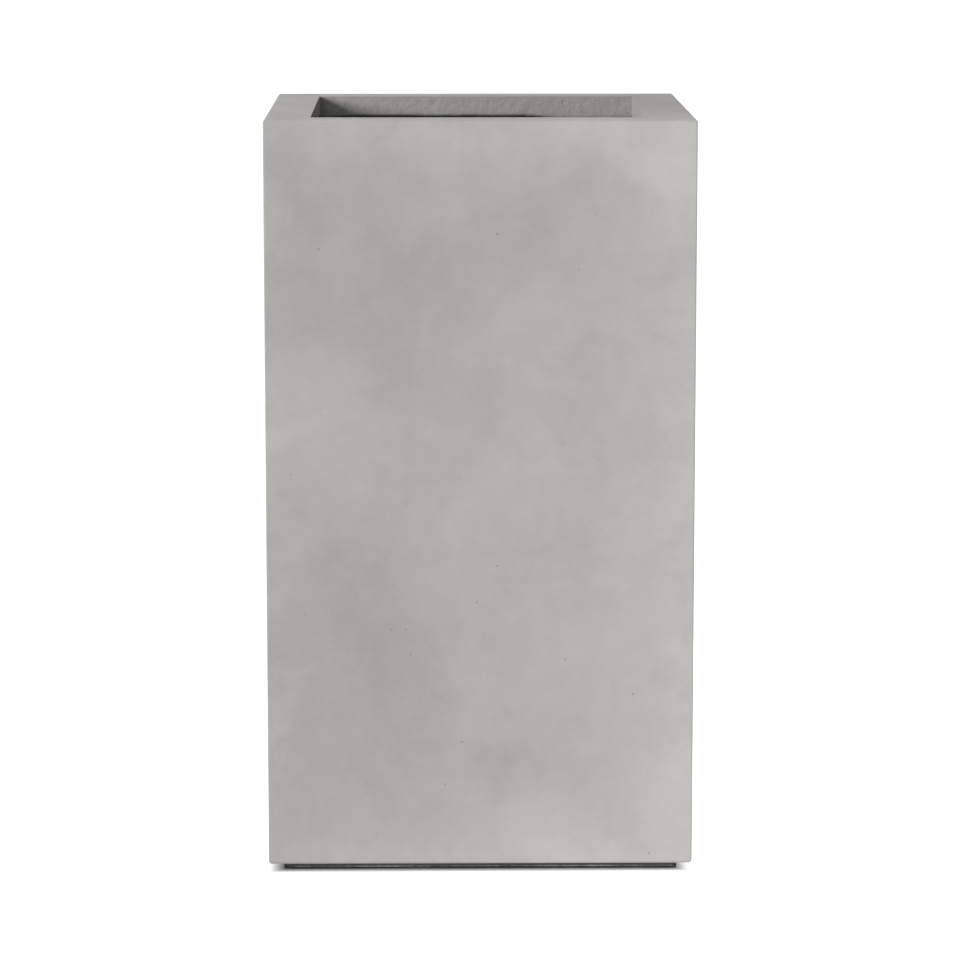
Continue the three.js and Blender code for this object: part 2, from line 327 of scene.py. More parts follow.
def on_laminate_side(reach, level):
    deep = wall / 2
    between = foot_level + deep < level < rim_level - deep
    behind_lip = reach > mouth_reach + deep or level < lip_bottom - deep
    return between and behind_lip and reach < half_width - deep


shell_section = stepped(eased([
    (foot_opening_reach, foot_level, 0.0008),
    (half_width, foot_level, 0.0036),
    (half_width, rim_level, 0.0018),
    (mouth_reach, rim_level, 0.0009),
    (mouth_reach, lip_bottom, 0.0032),
    (mouth_reach + wall, lip_bottom, 0.0022),
    (mouth_reach + wall, rim_level - wall, 0.0015),
    (half_width - wall, rim_level - wall, 0.0010),
    (half_width - wall, foot_level + wall, 0.0010),
    (foot_opening_reach, foot_level + wall, 0.0010),
]), longest=0.011)
shell_rings = [square_ring(p.x, shell_corner_radius(p.x), p.y) for p in shell_section]
shell = piece_over("outer_shell_moulding", shell_rings, loop=True)

laminate_lump = 0.0005
mould_wave = 0.0003
mould_wave_from = 0.006  # the walls are true this far in from their edges
mould_wave_fade = 0.03
lip_droop = 0.0008
lip_sag = 0.0030
lip_sag_runs = {  # where along a side the sag begins, and the way on to where it is full
    "back": ((0.045, 0.050), (-0.105, -0.050)),
    "left": ((0.030, -0.090),),
    "front": ((0.080, 0.070), (-0.080, -0.070)),
    "right": ((0.080, 0.070), (-0.080, -0.070)),
}


def trimmed_lip(place):
    """How far the lip's lower edge, cut by eye with a grinder, runs below the line at a place."""
    side = max(
        ("back", place.y), ("front", -place.y), ("left", -place.x), ("right", place.x),
        key=lambda named: named[1],
    )[0]
    along = place.x if side in ("back", "front") else place.y
    low_end = max((along - begin) / way for begin, way in lip_sag_runs[side])
    low_end = min(1, max(0, low_end))
    uneven = 0.8 + 0.5 * noise.noise(Vector((along * 35, 3.3, 0)))
    return lip_droop * uneven + lip_sag * low_end * low_end * (3 - 2 * low_end)


shell_around = len(shell_rings[0])
facing_out = [vertex.normal.copy() for vertex in shell.data.vertices]
from_edge = []
mouth_depth = []
for i, vertex in enumerate(shell.data.vertices):
    section_point = shell_section[i // shell_around]
    place = vertex.co.copy()
    planes = sorted((
        half_width - abs(place.x),
        half_width - abs(place.y),
        rim_level - place.z,
        place.z - foot_level,
    ))
    from_edge.append(planes[1])
    in_mouth = section_point.x < mouth_reach + wall + same_place and place.z > lip_bottom - wall
    mouth_depth.append((rim_level - place.z) / (rim_level - lip_bottom) if in_mouth else 0)
    if in_mouth and section_point.x < half_width - 2 * wall:
        hang = min(1, max(0, (rim_level - place.z - wall) / (rim_level - lip_bottom - wall)))
        vertex.co = place - Vector((0, 0, trimmed_lip(place) * hang))
    elif on_laminate_side(*section_point):
        lump = noise.noise(place * 45) + 0.5 * noise.noise(place * 130)
        vertex.co = place + facing_out[i] * laminate_lump * lump
    elif planes[0] < same_place and planes[1] > mould_wave_from:
        fade = min(1, (planes[1] - mould_wave_from) / mould_wave_fade)
        wave = 0.5 + 0.5 * noise.noise(place * 7)
        vertex.co = place - facing_out[i] * mould_wave * wave * fade
for name, values in (("from_edge", from_edge), ("mouth_depth", mouth_depth)):
    shell.data.attributes.new(name, "FLOAT", "POINT").data.foreach_set("value", values)


class Finish:
    """A material in the making, with the nodes that its finish is worked out by."""

    def __init__(self, name):
        self.material = bpy.data.materials.new(name)
        self.material.use_nodes = True
        self.tree = self.material.node_tree
        self.shader = self.tree.nodes["Principled BSDF"]
        self.place = self.node("TexCoord", {}).outputs["Object"]

    def node(self, kind, inputs, **settings):
        return add_node(self.tree, kind, inputs, **settings)

    def reckon(self, operation, *values):
        """One step of arithmetic with numbers and other nodes' outputs."""
        inputs = dict(zip(("Value", "Value_001", "Value_002"), values))
        return self.node("Math", inputs, operation=operation).outputs["Value"]

    def reckon_place(self, operation, *places, result="Vector"):
        """The same with places and directions."""
        inputs = dict(zip(("Vector", "Vector_001", "Vector_002"), places))
        return self.node("VectorMath", inputs, operation=operation).outputs[result]

    def sum(self, first, second):
        return self.reckon("ADD", first, second)

    def times(self, first, second):
        return self.reckon("MULTIPLY", first, second)

    def total(self, *terms):
        """The sum of (amount, value) terms."""
        whole = self.times(terms[0][1], terms[0][0])
        for amount, value in terms[1:]:
            whole = self.reckon("MULTIPLY_ADD", value, amount, whole)
        return whole

    def between(self, value, low, high, at_low=0.0, at_high=1.0):
        """A smooth step: at_low up to low, at_high from high on."""
        inputs = {
            "Value": value,
            "From Min": low,
            "From Max": high,
            "To Min": at_low,
            "To Max": at_high,
        }
        return self.node("MapRange", inputs, interpolation_type="SMOOTHSTEP").outputs["Result"]

    def spot_on(self, stretch=(1, 1, 1), seed=0.0, place=None):
        """Where a pattern is read: the place on the part, stretched and shifted by its seed."""
        shift = (seed, 1.7 * seed, 2.3 * seed)
        return self.reckon_place("MULTIPLY_ADD", place or self.place, stretch, shift)

    def clouds(self, size, detail=4.0, seed=0.0, stretch=(1, 1, 1), roughness=0.5, place=None):
        """Soft patches of about that size in metres, mostly from -1 to 1."""
        inputs = {
            "Vector": self.spot_on(stretch, seed, place),
            "Scale": 1 / size,
            "Detail": detail,
            "Roughness": roughness,
        }
        cloud = self.node("TexNoise", inputs).outputs["Fac"]
        return self.reckon("MULTIPLY_ADD", cloud, 4.0, -2.0)

    def specks(self, spacing, radius, share, seed=0.0):
        """Small round specks, 1 in the middle: a share of the cells of that spacing has one."""
        inputs = {"Vector": self.spot_on(seed=seed), "Scale": 1 / spacing}
        cell = self.node("TexVoronoi", inputs)
        pick = self.node("SeparateColor", {"Color": cell.outputs["Color"]})
        chosen = self.between(pick.outputs["Red"], 1 - share, 1 - share * 0.8)
        size = self.between(pick.outputs["Green"], 0, 1, 0.45 * radius / spacing, radius / spacing)
        from_middle = self.reckon("DIVIDE", cell.outputs["Distance"], size)
        return self.times(self.between(from_middle, 0.35, 1.0, 1.0, 0.0), chosen)

    def mix(self, share, first, second):
        """A share of the second colour over the first."""
        inputs = {"Factor_Float": share, "A_Color": first, "B_Color": second}
        mixed = self.node("Mix", inputs, data_type="RGBA", clamp_factor=True)
        return next(s for s in mixed.outputs if s.identifier == "Result_Color")

    def shaded(self, colour, brightness):
        """A colour made brighter or darker all over by a number."""
        inputs = {"Vector": colour, "Scale": brightness}
        return self.node("VectorMath", inputs, operation="SCALE").outputs["Vector"]

    def attribute(self, name):
        return self.node("Attribute", {}, attribute_name=name).outputs["Fac"]

    def use(self, colour, roughness, relief, metallic=0.0, specular=0.5):
        """Gives the shader its colour, roughness, and relief in metres."""
        bump = self.node("Bump", {"Height": relief, "Strength": 1.0, "Distance": 1.0})
        self.tree.links.new(colour, self.shader.inputs["Base Color"])
        self.tree.links.new(roughness, self.shader.inputs["Roughness"])
        self.tree.links.new(bump.outputs["Normal"], self.shader.inputs["Normal"])
        self.shader.inputs["Metallic"].default_value = metallic
        self.shader.inputs["Specular IOR Level"].default_value = specular
        return self.material


stone_cool = (0.2725, 0.2665, 0.264, 1)
stone_pale = (0.400, 0.394, 0.387, 1)
stone_beige = (0.344, 0.329, 0.297, 1)
# Patches on the front wall, partly the gelcoat's own tone and partly painted light: darker on the
# left, paler at the right end, along the top and along the foot.
front_tone_and_painted_light = (  # of the front wall: how much paler or darker, the middle, and how far it reaches
    (-0.80, Vector((-0.095, -0.200, 0.575)), Vector((0.130, 0.14, 0.140))),
    (-0.85, Vector((-0.100, -0.200, 0.220)), Vector((0.105, 0.14, 0.175))),
    (-0.60, Vector((-0.190, -0.200, 0.600)), Vector((0.040, 0.14, 0.150))),
    (-0.40, Vector((0.050, -0.200, 0.610)), Vector((0.080, 0.14, 0.060))),
    (-0.45, Vector((0.040, -0.200, 0.115)), Vector((0.110, 0.14, 0.060))),
    (0.50, Vector((-0.165, -0.200, 0.400)), Vector((0.055, 0.14, 0.110))),
    (1.15, Vector((0.085, -0.200, 0.705)), Vector((0.180, 0.14, 0.055))),
    (0.70, Vector((0.095, -0.200, 0.020)), Vector((0.150, 0.14, 0.060))),
    (1.80, Vector((0.205, -0.200, 0.015)), Vector((0.060, 0.14, 0.130))),
    (2.10, Vector((0.200, -0.200, 0.705)), Vector((0.080, 0.14, 0.110))),
)


def cast_stone():
    """Cement-coloured gelcoat: soft clouds of tone, pits and flecks, pale bands at the edges, and
    painted light and shade.
    """
    finish = Finish("cast_stone_gelcoat")
    drift = finish.node("TexNoise", {"Vector": finish.place, "Scale": 7.0, "Detail": 4.0})
    drift = finish.reckon_place("SUBTRACT", drift.outputs["Color"], (0.5, 0.5, 0.5))
    wandering = finish.reckon_place("MULTIPLY_ADD", drift, (0.16, 0.16, 0.16), finish.place)

    broad = finish.clouds(0.24, detail=3, seed=3.1, place=wandering)
    middling = finish.clouds(0.07, detail=6, seed=8.4, place=wandering, roughness=0.62)
    small = finish.clouds(0.018, detail=4, seed=1.9, roughness=0.6)
    grain = finish.clouds(0.0022, detail=2, seed=5.5)
    streaks = finish.clouds(0.004, detail=2, seed=2.6, stretch=(0.06, 0.06, 1))

    tone = finish.total((0.34, broad), (0.43, middling), (0.16, small))
    for amount, centre, reach in front_tone_and_painted_light:
        offset = finish.reckon_place("SUBTRACT", wandering, centre)
        offset = finish.reckon_place("DIVIDE", offset, reach)
        away = finish.reckon_place("LENGTH", offset, result="Value")
        tone = finish.sum(tone, finish.between(away, 0.0, 1.15, amount, 0.0))
    from_edge = finish.attribute("from_edge")
    edge_band = finish.between(from_edge, 0.004, 0.045, 1.0, 0.0)
    arris = finish.between(from_edge, 0.0002, 0.0018, 1.0, 0.0)
    # Painted shade in patches along the arrises of the walls.
    painted_arris_shade = finish.between(finish.clouds(0.03, detail=4, seed=6.2), -1.4, 0.2)
    # Pale bands along the edges: partly wear, partly painted light from the floor along the foot.
    edge_wear_and_painted_light = finish.times(edge_band, finish.between(middling, -0.7, 0.5))
    tone = finish.sum(tone, finish.times(edge_wear_and_painted_light, 0.40))
    share = finish.between(tone, -1.46, 2.10)
    colour = finish.mix(share, stone_cool, stone_pale)
    warm = finish.clouds(0.07, detail=8, seed=11.3, place=wandering, roughness=0.74)
    warm = finish.between(finish.total((1.0, warm), (0.6, share)), -0.52, 1.47, 0.0, 0.70)
    colour = finish.mix(warm, colour, stone_beige)

    pits = finish.specks(0.016, 0.0014, 0.40, seed=4.4)
    fine_pits = finish.specks(0.0045, 0.00035, 0.25, seed=9.7)
    flecks = finish.specks(0.016, 0.0007, 0.20, seed=7.3)
    depth = finish.attribute("mouth_depth")
    on_lip = finish.between(depth, 0.04, 0.2)
    # Painted shade on the arris round the mouth, which dims the highlight it catches.
    painted_mouth_arris_shade = finish.times(
        finish.between(depth, 0.001, 0.010),
        finish.between(depth, 0.030, 0.070, 1.0, 0.0),
    )
    lip_pits = finish.sum(
        finish.specks(0.0075, 0.0015, 0.5, seed=12.1),
        finish.specks(0.0034, 0.0006, 0.5, seed=15.6),
    )
    lip_pits = finish.times(lip_pits, on_lip)
    lip_lumps = finish.times(finish.clouds(0.007, detail=3, seed=13.3), on_lip)

    # Painted shade: the lip on the right and the top of the rim are made a little darker than the
    # walls.
    axes = finish.node("SeparateXYZ", {"Vector": finish.place})
    right_lip_painted_shade = finish.times(
        finish.between(depth, 0.001, 0.020),
        finish.between(axes.outputs["X"], mouth_reach - 0.0015, mouth_reach - 0.0004),
    )
    rim_top_painted_shade = finish.between(axes.outputs["Z"], rim_level - 0.0012, rim_level - 0.0001)
    brightness = finish.total(
        (0.010, grain),
        (0.007, streaks),
        (0.012, small),
        (-0.26, pits),
        (-0.05, fine_pits),
        (-0.20, lip_pits),
        (0.035, lip_lumps),
        (0.05, flecks),
        (-0.16, finish.times(arris, painted_arris_shade)),
        (-0.22, painted_mouth_arris_shade),
        # painted shade, darker down the lower part of the lip
        (-0.08, finish.between(depth, 0.5, 1.1)),
        (-0.15, right_lip_painted_shade),
        (-0.045, rim_top_painted_shade),
    )
    colour = finish.shaded(colour, finish.sum(brightness, 1.0))
    roughness = finish.sum(finish.total((0.04, middling), (0.03, grain)), 0.80)
    relief = finish.total(
        (0.000010, grain),
        (0.000040, small),
        (0.000008, streaks),
        (-0.00035, pits),
        (-0.00018, fine_pits),
        (-0.00050, lip_pits),
        (0.00022, lip_lumps),
    )
    return finish.use(colour, roughness, relief, specular=0.28)


flow_coat = (0.290, 0.295, 0.284, 1)
dry_fibre = (0.430, 0.435, 0.412, 1)


def raw_laminate():
    """Strands of chopped glass under a thin grey flow coat, ridged where they cross."""
    finish = Finish("raw_laminate")
    strands = None
    for tilt, seed in ((0.3, 1.0), (1.4, 4.2), (2.5, 7.9), (3.3, 12.6)):
        inputs = {"Vector": finish.place, "Axis": (0.5, 0.62, 0.6), "Angle": tilt}
        turned = finish.node("VectorRotate", inputs, rotation_type="AXIS_ANGLE").outputs["Vector"]
        wavy = finish.clouds(0.0035, detail=1, seed=seed, stretch=(0.10, 1, 1), place=turned)
        strand = finish.between(finish.reckon("ABSOLUTE", wavy), 0.0, 0.22, 1.0, 0.0)
        strands = finish.reckon("MAXIMUM", strands, strand) if strands else strand
    pools = finish.clouds(0.05, detail=4, seed=2.2)
    share = finish.total((0.55, strands), (0.25, pools))
    colour = finish.mix(finish.between(share, 0.0, 0.9), flow_coat, dry_fibre)
    bubbles = finish.specks(0.009, 0.0011, 0.4, seed=3.3)
    colour = finish.shaded(colour, finish.sum(finish.times(bubbles, -0.25), 1.0))
    roughness = finish.sum(finish.total((-0.12, strands), (0.10, pools)), 0.55)
    relief = finish.total((0.00022, strands), (0.00030, pools), (-0.00030, bubbles))
    return finish.use(colour, roughness, relief, specular=0.45)


stone = cast_stone()
laminate = raw_laminate()
shell.data.materials.append(stone)
shell.data.materials.append(laminate)
laminate_rings = {i for i, p in enumerate(shell_section) if on_laminate_side(*p)}
for face in shell.data.polygons:
    rings_met = {v // shell_around for v in face.vertices}
    face.material_index = 1 if rings_met <= laminate_rings else 0
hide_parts("outer_shell")
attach(shell, "planter")


# ---------- rim battens ----------
# Four strips of thin plywood, sawn from a sheet and bonded in the channel between wall and lip
# while the laminate is wet, so that the wide rim stays flat. Seen only from inside, looking up.

sawn_arris = 0.0006


def bar_rings(low, high, arris, longest, unevenness=0.0):
    """Rings of a straight bar with its arrises and ends eased, along its longer level side."""
    size = high - low
    middle = (low + high) / 2
    along_x = size.x > size.y
    half_length = (size.x if along_x else size.y) / 2
    half_across = (size.y if along_x else size.x) / 2
    half_up = size.z / 2
    sideways = Vector((0, 1, 0)) if along_x else Vector((1, 0, 0))
    least_ease = 0.08 * arris
    end_steps = 3
    stations = []
    for k in range(end_steps + 1):
        lean = math.pi / 2 * k / end_steps
        place = half_length - arris * (1 - math.sin(lean))
        inset = arris * (1 - math.cos(math.pi / 2 - lean))
        stations.append((place, inset))
    flat = 2 * (half_length - arris)
    pieces = math.ceil(flat / longest)
    ends = [(-place, inset) for place, inset in reversed(stations)]
    between = [(-half_length + arris + flat * k / pieces, 0.0) for k in range(1, pieces)]
    rings = []
    for along, inset in ends + between + stations:
        across = half_across - inset
        up = half_up - inset
        ease = max(arris - inset, least_ease)
        section = eased([
            (-across, -up, ease),
            (across, -up, ease),
            (across, up, ease),
            (-across, up, ease),
        ], steps=3)
        ring = []
        for p in section:
            point = middle + (Vector((along, p.x, p.y)) if along_x else Vector((p.x, along, p.y)))
            if unevenness:
                shift = unevenness * (noise.noise(point * 60) - 1) / 2
                point += shift * math.copysign(1, p.x) * sideways
            ring.append(point)
        rings.append(ring)
    return rings


ply_thickness = 0.0026
veneer_pale = (0.52, 0.355, 0.19, 1)
veneer_dark = (0.33, 0.195, 0.085, 1)
resin_stain = (0.20, 0.145, 0.085, 1)


def plywood(name, along):
    """Face veneer with its grain along one axis, alternate plies at the edge, and resin over it."""
    finish = Finish(name)
    stretch = tuple(0.05 if axis == along else 1.0 for axis in range(3))
    figure = finish.clouds(0.012, detail=4, seed=2.0, stretch=stretch)
    pores = finish.clouds(0.0009, detail=2, seed=6.0, stretch=stretch)
    height = finish.node("SeparateXYZ", {"Vector": finish.place}).outputs["Z"]
    ply = finish.reckon("SINE", finish.times(height, math.pi / ply_thickness))
    normal = finish.node("NewGeometry", {}).outputs["Normal"]
    facing = finish.node("SeparateXYZ", {"Vector": normal})
    upright = finish.reckon("ABSOLUTE", facing.outputs["Z"])
    on_edge = finish.between(upright, 0.4, 0.7, 1.0, 0.0)
    banding = finish.times(ply, on_edge)
    share = finish.total((0.40, figure), (0.18, pores), (0.35, banding))
    colour = finish.mix(finish.between(share, -0.9, 0.9), veneer_dark, veneer_pale)
    run = finish.between(finish.clouds(0.05, detail=4, seed=9.0), 0.15, 0.55)
    colour = finish.mix(finish.times(run, 0.7), colour, resin_stain)
    roughness = finish.sum(finish.total((-0.45, run), (0.05, pores)), 0.80)
    relief = finish.total((0.00006, figure), (0.00012, pores), (0.00012, run))
    return finish.use(colour, roughness, relief, specular=0.4)


plywood_along_width = plywood("plywood_along_width", 0)
plywood_along_depth = plywood("plywood_along_depth", 1)
for side in ("front", "back", "left", "right"):
    node = "rim_batten_" + side
    grain_along_width = side in ("front", "back")
    rings = bar_rings(*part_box(node), sawn_arris, longest=0.03)
    batten = piece_over("plywood_batten_" + side, rings)
    batten.data.materials.append(plywood_along_width if grain_along_width else plywood_along_depth)
    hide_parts(node)
    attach(batten, "planter")


# ---------- base panel ----------
# A flat panel of laminate with a hole for the drain, laid on the flange and bonded to the walls.
# Its top is lumpy, because it is laid up by hand, and its underside is flatter, from the bench.

panel_low, panel_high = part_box("base_panel")
drain_hole_radius = 0.0163
panel_ease = 0.0008
panel_lump = 0.0004
panel_around = 128


def panel_ring(distance, level):
    """A ring that is round at the drain hole and square at the walls."""
    squareness = (distance - drain_hole_radius) / (panel_high.x - drain_hole_radius)
    squareness = min(1, max(0, squareness)) ** 0.8
    ring = []
    for k in range(panel_around):
        angle = 2 * math.pi * k / panel_around
        x = math.cos(angle)
        y = math.sin(angle)
        to_square = distance / max(abs(x), abs(y))
        radius = distance + (to_square - distance) * squareness
        ring.append(Vector((radius * x, radius * y, level)))
    return ring


panel_section = stepped(eased([
    (drain_hole_radius, panel_low.z, panel_ease),
    (panel_high.x, panel_low.z, panel_ease),
    (panel_high.x, panel_high.z, panel_ease),
    (drain_hole_radius, panel_high.z, panel_ease),
], steps=3), longest=0.009)
panel_rings = [panel_ring(p.x, p.y) for p in panel_section]
for p, ring in zip(panel_section, panel_rings):
    if p.y > panel_high.z - panel_ease / 2:
        for point in ring:
            point.z -= panel_lump * (0.5 + 0.5 * noise.noise(point * 60))
panel = piece_over("base_panel_laminate", panel_rings, loop=True)
panel.data.materials.append(laminate)
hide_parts("base_panel")
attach(panel, "planter")


# ---------- corner blocks ----------
# Triangular blocks of filled laminate, one in each corner, bonded down on the base panel and
# against two walls. Their arrises are knocked off with a file so that the glass lies over them.

block_ease = 0.0025
block_middle = 0.29  # the point that the eased ends narrow towards, as a share of the legs
for corner in ("front_left", "front_right", "back_right", "back_left"):
    node = "corner_block_" + corner
    low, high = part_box(node)
    into_corner_x = -1 if corner.endswith("left") else 1
    into_corner_y = -1 if corner.startswith("front") else 1
    leg = high.x - low.x
    corner_x = high.x if into_corner_x > 0 else low.x
    corner_y = high.y if into_corner_y > 0 else low.y
    plan = eased([(0, 0, block_ease), (leg, 0, block_ease), (0, leg, block_ease)], steps=4)
    middle = Vector((leg, leg)) * block_middle
    profile = [(block_ease * (1 - math.sin(a)), block_ease * (1 - math.cos(a)))
               for a in (0, math.pi / 6, math.pi / 3, math.pi / 2)]
    levels = [(inset, low.z + rise) for inset, rise in profile]
    levels += [(inset, high.z - rise) for inset, rise in reversed(profile)]
    block_rings = []
    for inset, level in levels:
        ring = []
        for p in plan:
            shrunk = middle + (p - middle) * (1 - inset / (block_middle * leg))
            x = corner_x - into_corner_x * shrunk.x
            y = corner_y - into_corner_y * shrunk.y
            ring.append(Vector((x, y, level)))
        block_rings.append(ring)
    block = piece_over("laminate_block_" + corner, block_rings)
    block.data.materials.append(laminate)
    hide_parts(node)
    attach(block, "planter")


# ---------- plinth rails, foot strips and their screws ----------
# Four rails of black plastic stand back from the walls, each held up under the flange by two
# countersunk screws. A strip of black rubber is glued under each rail, over the screw heads.

rail_arris = 0.0007
strip_arris = 0.0006
plinth_step = 0.004  # how closely the rings of a bar stand, so that its edges can be uneven
bond_line = 0.0003
plastic_black = (0.030, 0.030, 0.031, 1)
plastic_dusty = (0.085, 0.085, 0.082, 1)
rubber_black = (0.022, 0.022, 0.022, 1)
rubber_bloom = (0.055, 0.055, 0.056, 1)
pale_seam_grey = (0.40, 0.40, 0.385, 1)


def with_pale_seam_line(finish, colour):
    """A lumpy pale grey line where rail and strip meet."""
    level = finish.node("SeparateXYZ", {"Vector": finish.place}).outputs["Z"]
    seam = (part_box("foot_strip_front")[1].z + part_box("plinth_rail_front")[0].z) / 2
    away = finish.reckon("ABSOLUTE", finish.reckon("SUBTRACT", level, seam))
    lumps = finish.clouds(0.004, detail=3, seed=21.0, stretch=(1, 1, 0.1))
    runs = finish.clouds(0.06, detail=3, seed=23.5, stretch=(1, 1, 0.1))
    height = finish.sum(finish.total((0.00022, lumps), (0.00030, runs)), 0.00032)
    inside = finish.reckon("LESS_THAN", away, height)
    return finish.mix(finish.times(inside, 0.9), colour, pale_seam_grey)


def moulded_plastic(name, deep, dusty, grain_size, roughness_middle, in_plinth=False):
    """Plastic with a fine moulded grain, rub marks and a little dust."""
    finish = Finish(name)
    grain = finish.clouds(grain_size, detail=2, seed=1.3)
    rubs = finish.clouds(0.030, detail=5, seed=4.8, roughness=0.6)
    scuffs = finish.clouds(0.004, detail=3, seed=7.7, stretch=(0.15, 0.15, 1))
    dust = finish.between(finish.total((0.8, rubs), (0.4, scuffs)), 0.0, 1.2, 0.0, 0.5)
    colour = finish.mix(dust, deep, dusty)
    colour = finish.shaded(colour, finish.sum(finish.times(grain, 0.10), 1.0))
    if in_plinth:
        colour = with_pale_seam_line(finish, colour)
    rough = finish.total((0.30, dust), (0.04, grain), (0.05, rubs))
    roughness = finish.sum(rough, roughness_middle)
    relief = finish.total((0.00003, grain), (0.00002, scuffs))
    return finish.use(colour, roughness, relief)


def moulded_rubber(name, in_plinth=False):
    """Dull rubber with a pale bloom in patches and a faint pebble."""
    finish = Finish(name)
    pebble = finish.clouds(0.0012, detail=2, seed=3.0)
    bloom = finish.between(finish.clouds(0.02, detail=5, seed=5.1), -0.2, 1.0, 0.0, 0.8)
    colour = finish.mix(bloom, rubber_black, rubber_bloom)
    if in_plinth:
        colour = with_pale_seam_line(finish, colour)
    roughness = finish.sum(finish.total((0.12, bloom), (0.05, pebble)), 0.66)
    relief = finish.total((0.00004, pebble), (0.00003, bloom))
    return finish.use(colour, roughness, relief, specular=0.4)


plinth_plastic = moulded_plastic(
    "plinth_plastic", plastic_black, plastic_dusty,
    grain_size=0.0011, roughness_middle=0.34, in_plinth=True)
strip_rubber = moulded_rubber("foot_strip_rubber", in_plinth=True)
for side in ("front", "back", "left", "right"):
    node = "plinth_rail_" + side
    rings = bar_rings(*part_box(node), rail_arris, plinth_step, unevenness=0.0003)
    rail = piece_over("plinth_rail_plastic_" + side, rings)
    rail.data.materials.append(plinth_plastic)
    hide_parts(node)
    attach(rail, "planter")

    node = "foot_strip_" + side
    low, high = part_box(node)
    high.z += bond_line
    rings = bar_rings(low, high, strip_arris, plinth_step, unevenness=0.0006)
    strip = piece_over("foot_strip_rubber_" + side, rings)
    strip.data.materials.append(strip_rubber)
    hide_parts(node)
    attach(strip, "planter")

zinc_pale = (0.66, 0.67, 0.68, 1)
zinc_dark = (0.44, 0.44, 0.45, 1)


def bright_metal(name, dark, pale, roughness_middle, along=None):
    """Metal with a drawn or plated surface: fine lines along one axis, and dull patches."""
    finish = Finish(name)
    stretch = tuple(0.02 if axis == along else 1.0 for axis in range(3))
    lines = finish.clouds(0.0008, detail=3, seed=2.9, stretch=stretch)
    patches = finish.clouds(0.02, detail=4, seed=8.8)
    share = finish.between(finish.total((0.4, lines), (0.5, patches)), -0.9, 0.9)
    colour = finish.mix(share, dark, pale)
    roughness = finish.sum(finish.total((0.06, lines), (0.08, patches)), roughness_middle)
    relief = finish.times(lines, 0.000006)
    return finish.use(colour, roughness, relief, metallic=1.0)


def turned_rings(outline, around, shape=None):
    """Rings about the upright axis. The shape may change radius and height by the angle."""
    rings = []
    for radius, height in outline:
        ring = []
        for k in range(around):
            angle = 2 * math.pi * k / around
            r, z = shape(radius, height, angle) if shape else (radius, height)
            ring.append(Vector((r * math.cos(angle), r * math.sin(angle), z)))
        rings.append(ring)
    return rings


screw_radius = 0.002
screw_head_radius = 0.004
screw_head_height = 0.0024
screw_pitch = 0.0013
thread_depth = 0.00045
recess_reach = 0.0021
recess_half_width = 0.00045
recess_depth = 0.0014
screw_low, screw_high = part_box("plinth_screw_front_left")
screw_length = screw_high.z - screw_low.z


def screw_shape(radius, height, angle):
    """Cuts the helical thread, the point and the cross recess into the plain turned form."""
    if height > screw_head_height + 0.0005:
        turn = (height - screw_pitch * angle / (2 * math.pi)) / screw_pitch % 1
        ridge = abs(2 * turn - 1) ** 3
        to_tip = min(1, (screw_length - height) / 0.005 + 0.08)
        cut = thread_depth * (1 - ridge) * min(1, to_tip * 1.5)
        return max(0.0001, radius * to_tip - cut), height
    x = abs(radius * math.cos(angle))
    y = abs(radius * math.sin(angle))
    in_cross = max(x, y) < recess_reach and min(x, y) < recess_half_width
    if height < same_place and in_cross:
        return radius, recess_depth * (1 - 0.75 * max(x, y) / recess_reach)
    return radius, height


head_outline = [Vector((r, 0)) for r in (0.0001, 0.0004, 0.0008, 0.0012, 0.0016, 0.0020, 0.0023)]
head_edge = eased([
    (0.0023, 0, 0),
    (screw_head_radius, 0, 0.00025),
    (screw_head_radius, 0.0003, 0.0002),
    (screw_radius, screw_head_height, 0.0003),
    (screw_radius, screw_length, 0),
], steps=3, closed=False)[1:]
screw_outline = head_outline + stepped(head_edge, longest=0.00022, closed=False)
zinc = bright_metal("zinc_plate", zinc_dark, zinc_pale, roughness_middle=0.32)
for place in ("front_left", "front_right", "back_left", "back_right",
              "left_front", "left_back", "right_front", "right_back"):
    node = "plinth_screw_" + place
    low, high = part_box(node)
    foot = Vector(((low.x + high.x) / 2, (low.y + high.y) / 2, low.z))
    rings = turned_rings(screw_outline, around=32, shape=screw_shape)
    screw = piece_over("countersunk_screw_" + place, [[foot + p for p in ring] for ring in rings])
    screw.data.materials.append(zinc)
    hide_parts(node)
    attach(screw, "planter")


# ---------- drain fitting ----------
# A flanged ferrule of black plastic goes down through the base panel. A rubber gasket seals its
# flange from above, and a hexagonal lock nut draws it tight from below on the ferrule's thread.

ferrule_low, ferrule_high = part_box("drain_ferrule")
gasket_low, gasket_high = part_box("drain_gasket")
nut_low, nut_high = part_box("drain_nut")
drain_radius = 0.0125
ferrule_tube_radius = 0.016
ferrule_flange_radius = ferrule_high.x
ferrule_flange_bottom = ferrule_high.z - 0.003
ferrule_pitch = 0.0022
ferrule_thread_depth = 0.0007


def ferrule_shape(radius, height, angle):
    """Cuts the coarse thread of the tail."""
    if radius > ferrule_tube_radius - 0.0004 and height < panel_high.z:
        turn = (height - ferrule_pitch * angle / (2 * math.pi)) / ferrule_pitch % 1
        groove = 0.5 - 0.5 * math.cos(2 * math.pi * turn)
        fade = min(1, (height - ferrule_low.z) / 0.0008)
        return radius - ferrule_thread_depth * groove * fade, height
    return radius, height


